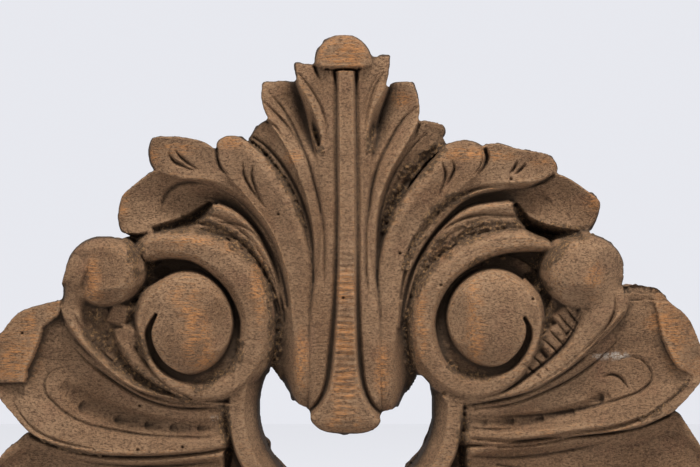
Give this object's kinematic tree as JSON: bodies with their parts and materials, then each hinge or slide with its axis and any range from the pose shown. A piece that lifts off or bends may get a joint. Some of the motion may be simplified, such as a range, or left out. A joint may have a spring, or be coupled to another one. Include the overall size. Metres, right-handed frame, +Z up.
{
  "type": "carved wooden corbel bracket",
  "caption": "Carved wooden corbel bracket: a crest leaf with a hanging tongue between two volutes, leafy wings and a round opening, flat back for fixing.",
  "frame": {"origin": "on the flat back, on the vertical axis, level with the centres of the two volutes", "axes": "+Z up, the carving faces -Y, +X to the viewer's right"},
  "size_m": [0.4544, 0.0678, 0.34],
  "materials": {
    "carved_wood": "bare hardwood, dusty grey-brown, worn to orange grain on the high spots, dark dirt in the cuts"
  },
  "bodies": {
    "root": {"bracket": "carved_wood"}
  },
  "joints": []
}
